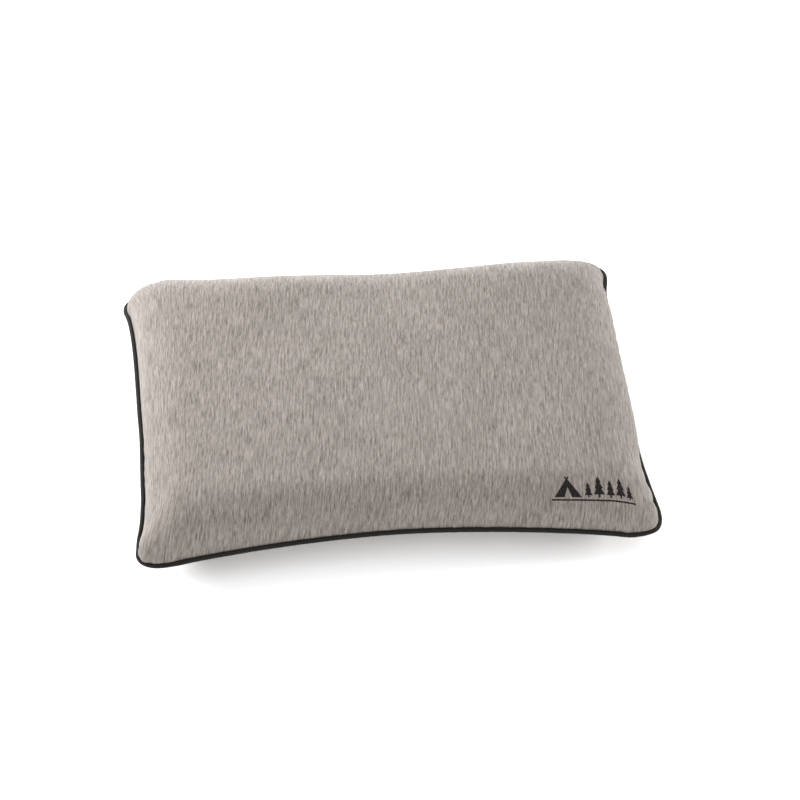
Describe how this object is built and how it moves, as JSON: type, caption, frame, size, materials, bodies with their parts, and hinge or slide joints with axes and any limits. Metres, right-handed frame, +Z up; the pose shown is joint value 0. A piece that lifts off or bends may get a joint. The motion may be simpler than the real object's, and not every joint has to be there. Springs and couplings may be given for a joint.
{
  "type": "camp pillow",
  "caption": "Low rectangular camp pillow with a foam core, a heathered jersey cover, black piped edges and a zip along the back.",
  "frame": {"origin": "centre of the underside, which lies flat on z = 0", "axes": "+X along the long sides, +Y towards the zipped back edge, +Z up through the thickness"},
  "size_m": [0.4734, 0.3418, 0.072],
  "materials": {
    "melange_jersey": "heathered knit, matte",
    "black_piping": "matte woven bias strip",
    "piping_filler": "matte twisted cord",
    "liner": "matte knit",
    "foam": "matte open-cell foam",
    "label": "smooth satin tape",
    "zip_tape": "matte woven tape",
    "zip_coil": "semi-gloss moulded coil",
    "zip_metal": "satin black paint"
  },
  "bodies": {
    "pillow": {"foam_core": "foam", "liner_top": "liner", "liner_bottom": "liner", "cover_top_panel": "melange_jersey", "cover_bottom_panel": "melange_jersey", "piping_sleeve": "black_piping", "piping_cord": "piping_filler", "care_label": "label", "zip_tape_upper": "zip_tape", "zip_tape_lower": "zip_tape", "zip_coil_upper": "zip_coil", "zip_coil_lower": "zip_coil", "zip_top_stop_upper": "zip_metal", "zip_top_stop_lower": "zip_metal", "zip_bottom_stop": "zip_metal"},
    "slider": {"zip_slider": "zip_metal"},
    "pull_tab": {"zip_pull_tab": "zip_metal"}
  },
  "joints": [
    {"name": "slider_travel", "type": "slide", "parent": "pillow", "child": "slider", "axis": [-1, 0, 0], "range_m": [0, 0.286], "deforming": ["zip_tape_upper", "zip_tape_lower", "zip_coil_upper", "zip_coil_lower"]},
    {"name": "pull_tab_swing", "type": "hinge", "parent": "slider", "child": "pull_tab", "pos_m": [0.14243, 0.15975, 0.04152], "axis": [0, -0.4848, 0.8746], "range_deg": [-178, 0]}
  ]
}
